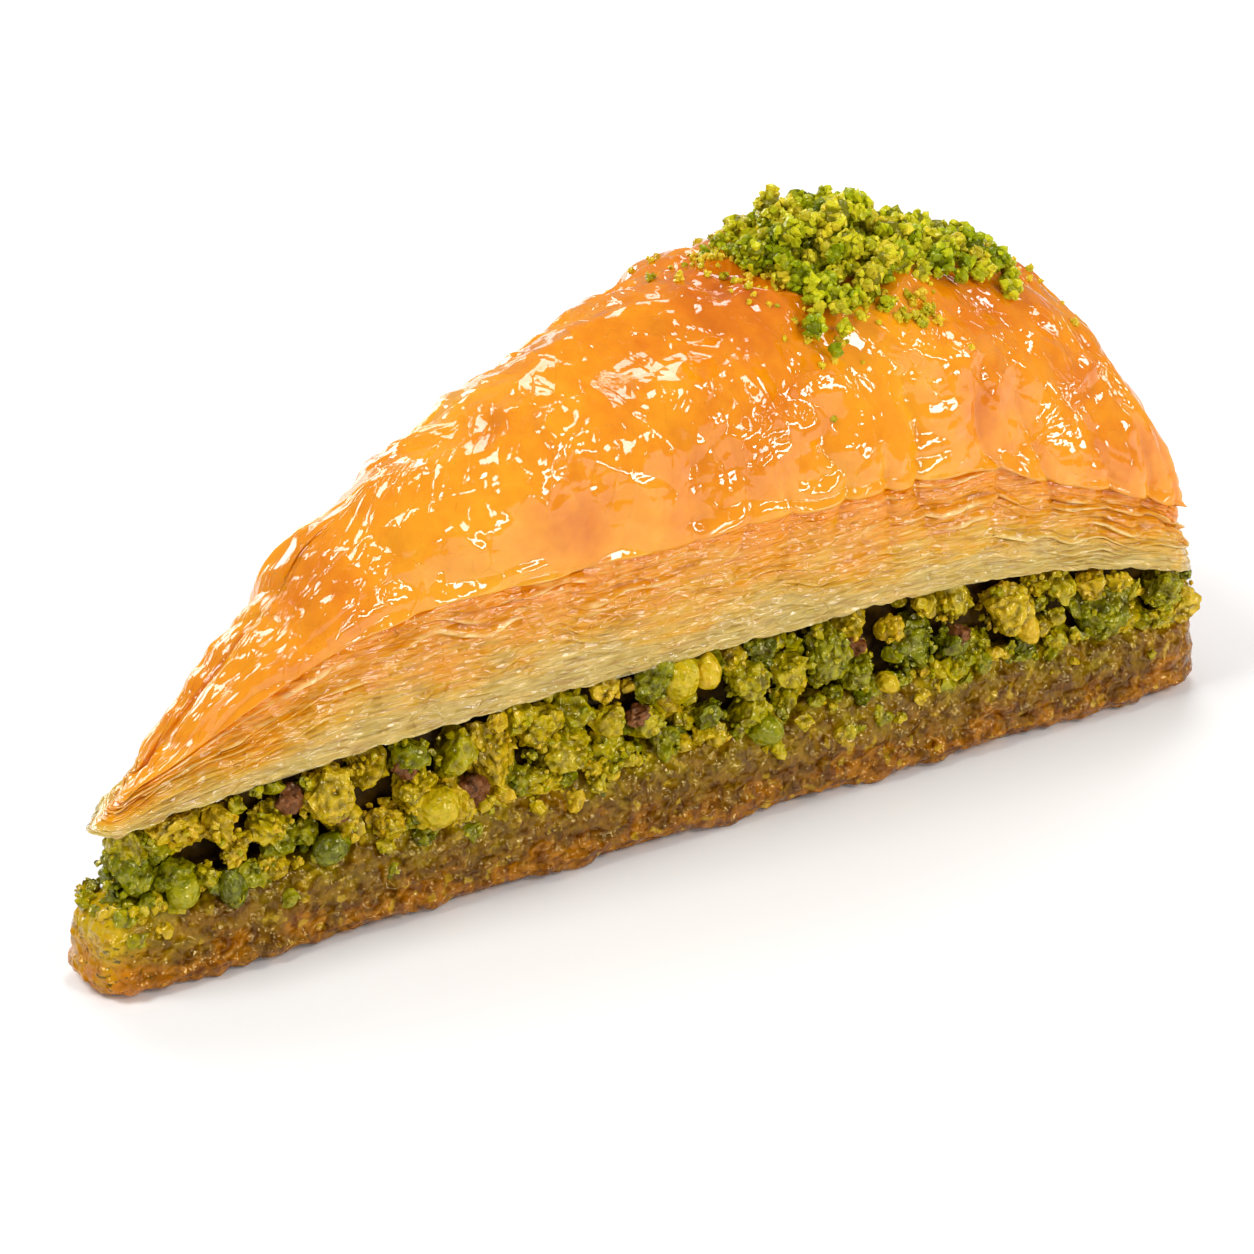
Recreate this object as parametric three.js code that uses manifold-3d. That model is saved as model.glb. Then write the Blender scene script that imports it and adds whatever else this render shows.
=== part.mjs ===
// A wedge of pistachio baklava: a syrup-soaked slab of pastry, a layer of chopped pistachio, a domed lid
// of thin crisp leaves, and a small heap of ground pistachio on the dome.
// Millimetres, +Z up. The wedge's point is at -X and its rim at +X, and the slab rests on the plane z = 0.
import * as THREE from "three";
import { mergeVertices } from "three/addons/utils/BufferGeometryUtils.js";
import Module from "manifold-3d";

const wasm = await Module();
wasm.setup();

const { clamp, degToRad, lerp, smoothstep } = THREE.MathUtils;

// Plan of the wedge, before it is centred: the point's end face is at x = 0
const wedgeLength = 135;
const halfAngle = degToRad(11.5);
const tipHalfWidth = 3.6;
const tipCornerRadius = 2.2;
const rimBulge = 4.5;
const rimCornerRadius = 5;
const columns = 80;
const spine = { start: 0.2, end: 0.8 }; // the inner line that the lid's rings shrink to

// Heights, with u running from 0 at the point to 1 at the rim
const thinningFrom = 0.7;
const slabTop = { tip: 9.6, middle: 11.4, reach: 0.4, rimDrop: 1.6 };
const fillingTop = { tip: 18.3, gain: 3.8, reach: 0.16, rimDrop: 7.4 };
const cutBand = { tip: 2, gain: 9.8, reach: 0.33, rimDrop: 6.2 };
const dome = { rise: 23.3, peak: 0.62, tipPower: 1.27, rimPower: 10, rimRoot: 0.4, archPower: 2.45 };
const gap = 0.3;

// The slab's side, from its foot up: how far each ring stands out, and its share of the height
const slabSide = [
  { out: -0.7, up: 0 },
  { out: 0.6, up: 0.06 },
  { out: 1.3, up: 0.17 },
  { out: 0.8, up: 0.34 },
  { out: 0.9, up: 0.55 },
  { out: 0.3, up: 0.78 },
  { out: -0.9, up: 0.95 },
  { out: -2.6, up: 1 },
];
const slabLumps = { depth: 0.55, spacing: 9 };
const soleCorners = [1, 32, 35, 45, 48, 79]; // the places of the outline where the flat sole has corners

// Kernels stuck in the slab's side: how far each lies from the point, and its radius
const stuckKernels = {
  near: [
    { x: 8, radius: 2.1 },
    { x: 14, radius: 1.6 },
    { x: 24, radius: 1.8 },
    { x: 36, radius: 2.3 },
    { x: 55, radius: 1.2 },
    { x: 75, radius: 2 },
    { x: 92, radius: 1.4 },
    { x: 110, radius: 1.7 },
  ],
  far: [
    { x: 19, radius: 1.7 },
    { x: 43, radius: 2.2 },
    { x: 66, radius: 1.4 },
    { x: 97, radius: 2 },
    { x: 121, radius: 1.5 },
  ],
  out: 0.9,
  below: 1.5,
};

// The lid's cut edge and creases
const leaves = { steps: 7, lip: 0.6, tuck: 0.35, lean: 2.3, wave: 0.5 };
const tipSetback = { distance: 2.2, reach: 12 };
const domeRings = 10;
const creases = { depth: 0.75, spacing: 12 };

// Drifts of loose crumbs on the dome: middle, spread along and across the wedge, and how many
const crumbRadius = [0.7, 1.3];
const crumbClearance = 1.25; // in radii of the heap, from its middle
const crumbDrifts = [
  { x: 84, y: -1, along: 5, across: 7, count: 6 },
  { x: 91, y: -19, along: 6, across: 3, count: 4 },
  { x: 122, y: -7, along: 8, across: 9, count: 9 },
];

// Chopped pistachio between slab and lid
const fillingCore = { inset: 2.7, clear: 0.5, levels: 4, rough: 0.8, spacing: 5 };
const fillingRows = [
  { count: 38, radius: [1.8, 2.8], rise: 0.22, inset: 1.3 },
  { count: 40, radius: [2.3, 3.5], rise: 0.66, inset: 1.6 },
];

// Ground pistachio on the dome
const heap = { x: 100.5, y: -3, radiusX: 15, radiusY: 11.5, height: 3.2, peaking: 1.6, foot: 1.5 };
const heapGrains = { count: 48, radius: [1.5, 2.6] };

function seededRandom(seed) {
  let state = seed;
  return () => {
    state = (state + 0x6d2b79f5) | 0;
    let t = Math.imul(state ^ (state >>> 15), 1 | state);
    t = (t + Math.imul(t ^ (t >>> 7), 61 | t)) ^ t;
    return ((t ^ (t >>> 14)) >>> 0) / 4294967296;
  };
}

const between = (random, [low, high]) => lerp(low, high, random());

// Smooth lumps between -1 and 1, about `spacing` apart: three crossed waves.
function lumps(x, y, z, spacing, seed) {
  const k = (2 * Math.PI) / spacing;
  const waves = [0.8 * x + 0.6 * y, 0.9 * y - 0.5 * x + 0.4 * z, 0.7 * x - 0.3 * y + z];
  return waves.reduce((sum, along, i) => sum + Math.sin(k * along + (1 + 1.4 * i) * seed), 0) / 3;
}

const thinning = (u) => clamp((u - thinningFrom) / (1 - thinningFrom), 0, 1) ** 2;

const slabTopAt = (u) =>
  lerp(slabTop.tip, slabTop.middle, smoothstep(u, 0, slabTop.reach)) - slabTop.rimDrop * thinning(u);

const fillingTopAt = (u) =>
  fillingTop.tip + fillingTop.gain * (1 - Math.exp(-u / fillingTop.reach)) - fillingTop.rimDrop * thinning(u);

const cutBandAt = (u) =>
  cutBand.tip + cutBand.gain * smoothstep(u, 0, cutBand.reach) - cutBand.rimDrop * thinning(u);

function domeRiseAt(u) {
  if (u < dome.peak) return dome.rise * (1 - ((dome.peak - u) / dome.peak) ** dome.tipPower);
  const towardsRim = Math.min(1, (u - dome.peak) / (1 - dome.peak));
  return dome.rise * (1 - towardsRim ** dome.rimPower) ** dome.rimRoot;
}

const halfWidthAt = (u) => tipHalfWidth + u * wedgeLength * Math.tan(halfAngle);

function lidTopAt(u, y) {
  const across = Math.min(1, Math.abs(y) / halfWidthAt(u));
  const arch = (1 - across ** dome.archPower) ** (1 / dome.archPower);
  return fillingTopAt(u) + cutBandAt(u) + domeRiseAt(u) * arch;
}

// The plan's outline, anticlockwise from the middle of the point, as evenly spaced places with normals.
function planOutline(count) {
  const slope = Math.tan(halfAngle);
  const faceNormal = 1.5 * Math.PI - halfAngle;
  const rimHalf = halfWidthAt(1);
  const rimRadius = (rimHalf ** 2 + rimBulge ** 2) / (2 * rimBulge);
  const rimCentre = wedgeLength + rimBulge - rimRadius;
  // A circle of this radius touches the cut face from inside when its centre is this far off the axis.
  const offAxis = (x, radius) => tipHalfWidth + x * slope - radius / Math.cos(halfAngle);
  // The rim corner's circle also touches the rim's arc: a quadratic for its centre.
  const reach = rimRadius - rimCornerRadius;
  const k = offAxis(0, rimCornerRadius);
  const a = 1 + slope ** 2;
  const b = 2 * (k * slope - rimCentre);
  const c = rimCentre ** 2 + k ** 2 - reach ** 2;
  const cornerX = (-b + Math.sqrt(b ** 2 - 4 * a * c)) / (2 * a);
  const cornerY = offAxis(cornerX, rimCornerRadius);
  const rimStart = 2 * Math.PI - Math.atan2(cornerY, cornerX - rimCentre);

  const half = new THREE.Path();
  half.moveTo(0, 0);
  const tipCornerY = offAxis(tipCornerRadius, tipCornerRadius);
  half.absarc(tipCornerRadius, -tipCornerY, tipCornerRadius, Math.PI, faceNormal);
  half.absarc(cornerX, -cornerY, rimCornerRadius, faceNormal, rimStart);
  half.absarc(rimCentre, 0, rimRadius, rimStart, 2 * Math.PI);
  const front = half.getSpacedPoints(count / 2);
  const back = front.slice(1, -1).reverse();
  const places = [...front, ...back.map((p) => new THREE.Vector2(p.x, -p.y))];
  return places.map((p, i) => {
    const before = places.at(i - 1);
    const after = places[(i + 1) % count];
    const normal = new THREE.Vector2(after.y - before.y, before.x - after.x).normalize();
    return { x: p.x, y: p.y, normal, u: clamp(p.x / wedgeLength, 0, 1) };
  });
}

const outline = planOutline(columns);

// The lid stops a little short of the slab at the wedge's point.
const lidOutline = outline.map((place) => {
  const setback = tipSetback.distance * (1 - smoothstep(place.x, 0, tipSetback.reach));
  return { ...place, x: place.x + setback };
});

const movedOut = (place, distance, z) =>
  new THREE.Vector3(place.x + place.normal.x * distance, place.y + place.normal.y * distance, z);

// A solid from rings of equal count, bottom ring first. Each end is closed straight across the wedge.
function loft(rings) {
  const count = rings[0].length;
  const faces = [];
  for (let r = 0; r + 1 < rings.length; r++) {
    for (let i = 0; i < count; i++) {
      const low = [r * count + i, r * count + ((i + 1) % count)];
      const high = low.map((v) => v + count);
      faces.push(low[0], low[1], high[1], low[0], high[1], high[0]);
    }
  }
  for (let i = 0; i < count / 2; i++) {
    const far = [(count - i) % count, count - i - 1];
    const caps = [[i, far[0], far[1]], [i, far[1], i + 1]];
    const last = (rings.length - 1) * count;
    for (const [p, q, s] of caps) {
      if (new Set([p, q, s]).size < 3) continue;
      faces.push(p, q, s, last + p, last + s, last + q);
    }
  }
  const geometry = new THREE.BufferGeometry().setFromPoints(rings.flat());
  geometry.setIndex(faces);
  return geometry;
}

// An irregular many-sided grain round the origin, stretched by `size`.
function grainGeometry(random, size) {
  const ball = new THREE.IcosahedronGeometry(1);
  ball.deleteAttribute("normal");
  ball.deleteAttribute("uv");
  const grain = mergeVertices(ball);
  const points = grain.attributes.position;
  const point = new THREE.Vector3();
  for (let i = 0; i < points.count; i++) {
    point.fromBufferAttribute(points, i).multiplyScalar(between(random, [0.78, 1.16]));
    points.setXYZ(i, point.x, point.y, point.z);
  }
  const turn = new THREE.Euler(random() * Math.PI, random() * Math.PI, random() * Math.PI);
  return grain.scale(...size).applyMatrix4(new THREE.Matrix4().makeRotationFromEuler(turn));
}

function solidOf(geometry) {
  const bare = new THREE.BufferGeometry().setAttribute("position", geometry.attributes.position);
  bare.setIndex(geometry.index);
  const merged = mergeVertices(bare, 1e-4);
  return new wasm.Manifold(
    new wasm.Mesh({
      numProp: 3,
      vertProperties: merged.attributes.position.array,
      triVerts: new Uint32Array(merged.index.array),
    }),
  );
}

// The largest closed body of a solid: loose scraps and sealed hollows go.
const mainBody = (solid) => solid.decompose().reduce((a, b) => (a.volume() > b.volume() ? a : b));

const fused = (solids) => mainBody(wasm.Manifold.union(solids));

function meshOf(name, solid, material) {
  const { vertProperties, triVerts } = solid.getMesh();
  const geometry = new THREE.BufferGeometry();
  geometry.setAttribute("position", new THREE.BufferAttribute(vertProperties.slice(), 3));
  geometry.setIndex(new THREE.BufferAttribute(triVerts.slice(), 1));
  geometry.computeVertexNormals();
  const mesh = new THREE.Mesh(geometry, new THREE.MeshStandardMaterial(material));
  mesh.name = name;
  return mesh;
}

// The outline's place at a share of the way round, between its points.
function placeAt(share) {
  const along = (((share % 1) + 1) % 1) * columns;
  const here = outline[Math.floor(along) % columns];
  const next = outline[(Math.floor(along) + 1) % columns];
  const t = along - Math.floor(along);
  const normal = here.normal.clone().lerp(next.normal, t).normalize();
  return { x: lerp(here.x, next.x, t), y: lerp(here.y, next.y, t), normal, u: lerp(here.u, next.u, t) };
}

// A place on one of the two cut faces, at a distance from the point. `side` is -1 on the near face.
function facePlace(x, side) {
  const u = x / wedgeLength;
  const normal = new THREE.Vector2(-Math.sin(halfAngle), side * Math.cos(halfAngle));
  return { x, y: side * halfWidthAt(u), normal, u };
}

// Keeps a grain's points between a floor and a ceiling, each a height by u.
function keepBetween(geometry, floorAt, ceilingAt) {
  const points = geometry.attributes.position;
  for (let i = 0; i < points.count; i++) {
    const u = clamp(points.getX(i) / wedgeLength, 0, 1);
    points.setZ(i, clamp(points.getZ(i), floorAt(u), ceilingAt(u)));
  }
  return geometry;
}

// The edge of the flat sole, straight from corner to corner.
function soleEdge(out) {
  return outline.map((_, i) => {
    const next = soleCorners.findIndex((corner) => corner >= i);
    const to = soleCorners[next];
    const from = next > 0 ? soleCorners[next - 1] : soleCorners.at(-1) - columns;
    const [start, end] = [from, to].map((corner) => movedOut(outline.at(corner), out, 0));
    return start.lerp(end, (i - from) / (to - from));
  });
}

// The soaked slab, with its lumpy side, and a few kernels stuck in that side.
function slabSolid() {
  const [sole, ...above] = slabSide;
  const rings = above.map(({ out, up }) =>
    outline.map((place) => {
      const z = up * slabTopAt(place.u);
      const depth = up < 1 ? slabLumps.depth : 0;
      return movedOut(place, out + depth * lumps(place.x, place.y, 3 * z, slabLumps.spacing, 3), z);
    }),
  );
  const random = seededRandom(11);
  const stuck = (side) => ({ x, radius }) => {
    const place = facePlace(x, side);
    const height = slabTopAt(place.u) - stuckKernels.below - 0.6 * random();
    const kernel = grainGeometry(random, [radius * 1.2, radius, radius]);
    kernel.translate(...movedOut(place, stuckKernels.out, height));
    return solidOf(keepBetween(kernel, () => 0.5, (u) => slabTopAt(u) - 0.1));
  };
  const kernels = [...stuckKernels.near.map(stuck(-1)), ...stuckKernels.far.map(stuck(1))];
  return fused([solidOf(loft([soleEdge(sole.out), ...rings])), ...kernels]);
}

// The lid: a flat underside, a cut edge of stepped leaves that leans back, and a creased dome.
function lidShell() {
  const underside = lidOutline.map((place) => movedOut(place, -leaves.tuck, fillingTopAt(place.u)));
  const rings = [underside];
  for (let step = 0; step < leaves.steps; step++) {
    for (const { share, out } of [{ share: 0.22, out: leaves.lip }, { share: 0.9, out: -leaves.tuck }]) {
      const up = (step + share) / leaves.steps;
      rings.push(
        lidOutline.map((place) => {
          const lip = out * (0.65 + 0.35 * lumps(place.x, place.y, 9 * step, 16, step));
          const wave = leaves.wave * up * lumps(place.x, place.y, 3 * step, 24, 5);
          const z = fillingTopAt(place.u) + cutBandAt(place.u) * up + wave;
          return movedOut(place, lip - leaves.lean * up, z);
        }),
      );
    }
  }
  for (let ring = 1; ring < domeRings; ring++) {
    const share = Math.cos(((Math.PI / 2) * ring) / domeRings);
    const edgeFade = Math.sqrt(1 - share ** 60);
    rings.push(
      lidOutline.map((place) => {
        const spineU = lerp(spine.start, spine.end, place.u);
        const u = lerp(spineU, place.u, share);
        const edge = movedOut(place, -leaves.lean, 0);
        const x = lerp(spineU * wedgeLength, edge.x, share);
        const y = edge.y * share;
        const foot = fillingTopAt(u) + cutBandAt(u);
        const rise = (lidTopAt(u, place.y * share) - foot) * edgeFade;
        const crease = creases.depth * lumps(x, y, foot + rise, creases.spacing, 1.3) * (1 - share ** 8);
        return new THREE.Vector3(x, y, foot + rise + crease);
      }),
    );
  }
  return solidOf(loft(rings));
}

// Crumbs that lie by themselves on the dome, clear of the heap.
function looseCrumbSolids() {
  const random = seededRandom(23);
  const nearly = (middle, spread) => middle + spread * (random() + random() - 1);
  const place = ({ x, y, along, across }) => ({ x: nearly(x, along), y: nearly(y, across) });
  const places = crumbDrifts.flatMap((drift) => Array.from({ length: drift.count }, () => place(drift)));
  const fromHeap = ({ x, y }) => Math.hypot((x - heap.x) / heap.radiusX, (y - heap.y) / heap.radiusY);
  return places
    .filter((spot) => fromHeap(spot) > crumbClearance)
    .map(({ x, y }) => {
      const radius = between(random, crumbRadius);
      const crumb = grainGeometry(random, [radius, radius, radius]);
      return solidOf(crumb.translate(x, y, lidTopAt(x / wedgeLength, y) + 0.15 * radius));
    });
}

// Chopped pistachio: a rough core set back from the cut faces, with the pieces that show fused all round it.
function fillingSolid() {
  const { inset, clear, levels, rough, spacing } = fillingCore;
  const coreRings = Array.from({ length: levels }, (_, level) =>
    outline.map((place) => {
      const z = lerp(slabTopAt(place.u) + clear, fillingTopAt(place.u) - clear, level / (levels - 1));
      return movedOut(place, rough * lumps(place.x, place.y, z, spacing, 2) - inset, z);
    }),
  );
  const random = seededRandom(5);
  const pieces = fillingRows.flatMap((row) =>
    Array.from({ length: row.count }, (_, i) => {
      const place = placeAt((i + 0.8 * random()) / row.count);
      const radius = between(random, row.radius);
      const height = lerp(slabTopAt(place.u), fillingTopAt(place.u), row.rise + 0.24 * (random() - 0.5));
      const centre = movedOut(place, -row.inset - 0.8 * random(), height);
      const piece = grainGeometry(random, [radius * 1.25, radius, radius * 0.85]).translate(...centre);
      const floorGap = gap + 0.3 * random();
      const ceilingGap = gap + 0.1 + 0.3 * random();
      return solidOf(keepBetween(piece, (u) => slabTopAt(u) + floorGap, (u) => fillingTopAt(u) - ceilingGap));
    }),
  );
  return fused([solidOf(loft(coreRings)), ...pieces]);
}

// Places in the heap by the sunflower rule, each with its share of the way out.
function heapPlaces(count, random) {
  const turn = Math.PI * (3 - Math.sqrt(5));
  return Array.from({ length: count }, (_, i) => {
    const share = Math.sqrt((i + 0.5) / count);
    const angle = i * turn + 0.5 * random();
    const x = heap.x + heap.radiusX * share * Math.cos(angle);
    const y = heap.y + heap.radiusY * share * Math.sin(angle);
    return { x, y, share };
  });
}

// Ground pistachio: a low core that follows the dome, with grains fused on, cut clear of the lid.
function heapSolid(lid) {
  const ball = new THREE.SphereGeometry(1, 16, 8);
  ball.deleteAttribute("normal");
  ball.deleteAttribute("uv");
  const core = mergeVertices(ball);
  const points = core.attributes.position;
  for (let i = 0; i < points.count; i++) {
    const x = heap.x + heap.radiusX * points.getX(i);
    const y = heap.y + heap.radiusY * points.getY(i);
    const up = points.getZ(i);
    const rise = up > 0 ? heap.height * up ** heap.peaking : heap.foot * up;
    points.setXYZ(i, x, y, lidTopAt(x / wedgeLength, y) + rise);
  }
  const random = seededRandom(41);
  const grains = heapPlaces(heapGrains.count, random).map(({ x, y, share }) => {
    const radius = between(random, heapGrains.radius);
    const height = heap.height * (1 - share ** 2) ** (heap.peaking / 2) + between(random, [-0.4, 0.4]);
    const grain = grainGeometry(random, [radius, radius, radius]);
    return solidOf(grain.translate(x, y, lidTopAt(x / wedgeLength, y) + Math.max(0.4, height)));
  });
  const pile = wasm.Manifold.union([solidOf(core), ...grains]);
  return mainBody(pile.subtract(lid.translate([0, 0, gap])));
}

const lid = fused([lidShell(), ...looseCrumbSolids()]);

const baklava = new THREE.Group();
baklava.add(
  meshOf("base_pastry", slabSolid(), { color: 0x8a681f, roughness: 0.3, metalness: 0 }),
  meshOf("pistachio_filling", fillingSolid(), { color: 0x8d9a24, roughness: 0.45, metalness: 0 }),
  meshOf("top_pastry", lid, { color: 0xe8a048, roughness: 0.2, metalness: 0 }),
  meshOf("pistachio_heap", heapSolid(lid), { color: 0x9fae22, roughness: 0.7, metalness: 0 }),
);

// The origin goes to the middle of the footprint, at the height of the resting face.
const centre = new THREE.Box3().setFromObject(baklava).getCenter(new THREE.Vector3());
for (const piece of baklava.children) piece.position.set(-centre.x, -centre.y, 0);

export default baklava;
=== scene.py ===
"""A wedge of pistachio baklava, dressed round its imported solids.

The shape functions below work in millimetres, with x measured from the wedge's point, as the solids do.
`laid` turns a piece's points into metres in the frame that the solids share.
"""

import math
import random

import bpy
import numpy as np
from mathutils import Euler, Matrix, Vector, noise
from mathutils.bvhtree import BVHTree


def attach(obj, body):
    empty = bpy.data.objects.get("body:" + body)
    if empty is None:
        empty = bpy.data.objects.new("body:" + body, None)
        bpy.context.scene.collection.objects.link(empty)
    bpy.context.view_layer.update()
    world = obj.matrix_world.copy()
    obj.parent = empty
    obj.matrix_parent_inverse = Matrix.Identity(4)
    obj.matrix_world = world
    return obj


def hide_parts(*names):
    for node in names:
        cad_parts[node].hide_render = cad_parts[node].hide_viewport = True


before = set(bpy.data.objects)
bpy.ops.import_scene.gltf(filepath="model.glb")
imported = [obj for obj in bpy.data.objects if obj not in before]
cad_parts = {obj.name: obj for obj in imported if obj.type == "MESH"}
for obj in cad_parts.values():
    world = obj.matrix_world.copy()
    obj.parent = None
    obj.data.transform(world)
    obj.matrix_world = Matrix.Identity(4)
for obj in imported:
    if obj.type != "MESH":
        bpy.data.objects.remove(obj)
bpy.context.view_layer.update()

MM = 0.001

# Plan of the wedge
WEDGE_LENGTH = 135.0
HALF_ANGLE = math.radians(11.5)
TIP_HALF_WIDTH = 3.6
TIP_CORNER_RADIUS = 2.2
RIM_BULGE = 4.5
RIM_CORNER_RADIUS = 5.0
RIM_REACH = 71.0 * MM  # where the slab's rim lies in front of the origin
SLAB_OUT = 1.3  # how far the slab's side stands out at most
SPINE = (0.2, 0.8)  # the inner line that rings shrink to, as shares of the length
NORMAL_SPAN = 4.2

# Heights, with u running from 0 at the point to 1 at the rim
THINNING_FROM = 0.7
SLAB_TOP = {"tip": 9.6, "middle": 11.4, "reach": 0.4, "rim_drop": 1.6}
FILLING_TOP = {"tip": 18.3, "gain": 3.8, "reach": 0.16, "rim_drop": 7.4}
CUT_BAND = {"tip": 2.0, "gain": 9.8, "reach": 0.33, "rim_drop": 6.2}
DOME = {"rise": 23.3, "peak": 0.62, "tip_power": 1.27, "rim_power": 10.0, "rim_root": 0.4, "arch": 2.45}
TIP_SETBACK = {"distance": 2.2, "reach": 12.0, "near": 0.1, "far": 1.8}
LEAN = 2.3  # how far the cut edge of the lid leans back at its top

COLUMNS = 1000  # steps round the wedge


def smoothstep(value, low, high):
    t = np.clip((value - low) / (high - low), 0, 1)
    return t * t * (3 - 2 * t)


def mix(a, b, t):
    return a + (b - a) * t


def thinning(u):
    return np.clip((u - THINNING_FROM) / (1 - THINNING_FROM), 0, 1) ** 2


def slab_top(u):
    rise = smoothstep(u, 0, SLAB_TOP["reach"])
    return mix(SLAB_TOP["tip"], SLAB_TOP["middle"], rise) - SLAB_TOP["rim_drop"] * thinning(u)


def filling_top(u):
    rise = FILLING_TOP["gain"] * (1 - np.exp(-u / FILLING_TOP["reach"]))
    return FILLING_TOP["tip"] + rise - FILLING_TOP["rim_drop"] * thinning(u)


def cut_band(u):
    rise = CUT_BAND["gain"] * smoothstep(u, 0, CUT_BAND["reach"])
    return CUT_BAND["tip"] + rise - CUT_BAND["rim_drop"] * thinning(u)


def dome_rise(u):
    peak = DOME["peak"]
    to_tip = np.clip((peak - u) / peak, 0, 1) ** DOME["tip_power"]
    to_rim = np.clip((u - peak) / (1 - peak), 0, 1) ** DOME["rim_power"]
    return DOME["rise"] * np.where(u < peak, 1 - to_tip, (1 - to_rim) ** DOME["rim_root"])


def half_width(u):
    return TIP_HALF_WIDTH + u * WEDGE_LENGTH * math.tan(HALF_ANGLE)


def lid_top(u, y):
    across = np.minimum(1, np.abs(y) / half_width(u))
    arch = (1 - across ** DOME["arch"]) ** (1 / DOME["arch"])
    return filling_top(u) + cut_band(u) + dome_rise(u) * arch


def arc(centre, radius, start, end, steps=80):
    turn = np.linspace(start, end, steps)
    return np.column_stack([centre[0] + radius * np.cos(turn), centre[1] + radius * np.sin(turn)])


def near_edge():
    """The plan's near side, from the middle of the point round to the middle of the rim."""
    slope = math.tan(HALF_ANGLE)
    face_normal = 1.5 * math.pi - HALF_ANGLE
    rim_half = TIP_HALF_WIDTH + WEDGE_LENGTH * slope
    rim_radius = (rim_half**2 + RIM_BULGE**2) / (2 * RIM_BULGE)
    rim_centre = WEDGE_LENGTH + RIM_BULGE - rim_radius

    def off_axis(x, radius):
        return TIP_HALF_WIDTH + x * slope - radius / math.cos(HALF_ANGLE)

    # The rim corner's circle touches the cut face and the rim's arc: a quadratic for its centre.
    k = off_axis(0, RIM_CORNER_RADIUS)
    a = 1 + slope**2
    b = 2 * (k * slope - rim_centre)
    c = rim_centre**2 + k**2 - (rim_radius - RIM_CORNER_RADIUS) ** 2
    corner_x = (-b + math.sqrt(b**2 - 4 * a * c)) / (2 * a)
    corner_y = off_axis(corner_x, RIM_CORNER_RADIUS)
    rim_start = 2 * math.pi - math.atan2(corner_y, corner_x - rim_centre)
    tip_centre = (TIP_CORNER_RADIUS, -off_axis(TIP_CORNER_RADIUS, TIP_CORNER_RADIUS))
    return np.vstack([
        [[0, 0]],
        arc(tip_centre, TIP_CORNER_RADIUS, math.pi, face_normal),
        arc((corner_x, -corner_y), RIM_CORNER_RADIUS, face_normal, rim_start),
        arc((rim_centre, 0), rim_radius, rim_start, 2 * math.pi),
    ])


class Outline:
    """Evenly spaced places round the wedge, anticlockwise from the middle of the point, with normals."""

    def __init__(self, setback):
        """With `setback`, the point lies further in by about that much, least on its near side."""
        edge = near_edge()
        reach = np.concatenate([[0], np.cumsum(np.hypot(*np.diff(edge, axis=0).T))])
        at = np.linspace(0, reach[-1], COLUMNS // 2 + 1)
        x, y = np.interp(at, reach, edge[:, 0]), np.interp(at, reach, edge[:, 1])
        self.x = np.concatenate([x, x[-2:0:-1]])
        self.y = np.concatenate([y, -y[-2:0:-1]])
        self.along = np.arange(COLUMNS) * 2 * reach[-1] / COLUMNS
        self.u = np.clip(self.x / WEDGE_LENGTH, 0, 1)
        span = round(NORMAL_SPAN / self.along[1])
        dx = np.roll(self.x, -span) - np.roll(self.x, span)
        dy = np.roll(self.y, -span) - np.roll(self.y, span)
        length = np.hypot(dx, dy)
        self.nx, self.ny = dy / length, -dx / length
        across = smoothstep(self.y, -TIP_HALF_WIDTH, TIP_HALF_WIDTH)
        slant = mix(TIP_SETBACK["near"], TIP_SETBACK["far"], across)
        self.x = self.x + setback * slant * (1 - smoothstep(self.x, 0, TIP_SETBACK["reach"]))

    def ring(self, out, z):
        """The outline moved out by `out`, at the heights `z`."""
        return np.stack(np.broadcast_arrays(self.x + self.nx * out, self.y + self.ny * out, z), axis=-1)

    def spine(self, z):
        """The inner line that closes a piece, at the heights `z`."""
        x = WEDGE_LENGTH * mix(*SPINE, self.u)
        return np.stack(np.broadcast_arrays(x, 0.0, z), axis=-1)


slab_outline = Outline(0)
lid_outline = Outline(TIP_SETBACK["distance"])
shift = RIM_REACH - (WEDGE_LENGTH + RIM_BULGE + SLAB_OUT) * MM


def noise_at(points, spacing, seed):
    """Smooth noise between about -1 and 1, with lumps about `spacing` apart: one value for each point."""
    places = (points / spacing + 17.3 * seed).reshape(-1, 3)
    values = np.fromiter(map(noise.noise, places.tolist()), float, len(places))
    return values.reshape(points.shape[:-1])


def grid_normals(points):
    """Outward normals of rings of points, where a ring closes on itself."""
    around = np.roll(points, -1, axis=1) - np.roll(points, 1, axis=1)
    up = np.gradient(points, axis=0)
    normal = np.cross(around, up)
    return normal / np.maximum(np.linalg.norm(normal, axis=-1, keepdims=True), 1e-9)


def mark(piece, label, values):
    """Give each point of a piece a value that its material reads."""
    piece.data.attributes.new(label, "FLOAT", "POINT").data.foreach_set("value", values)


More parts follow.
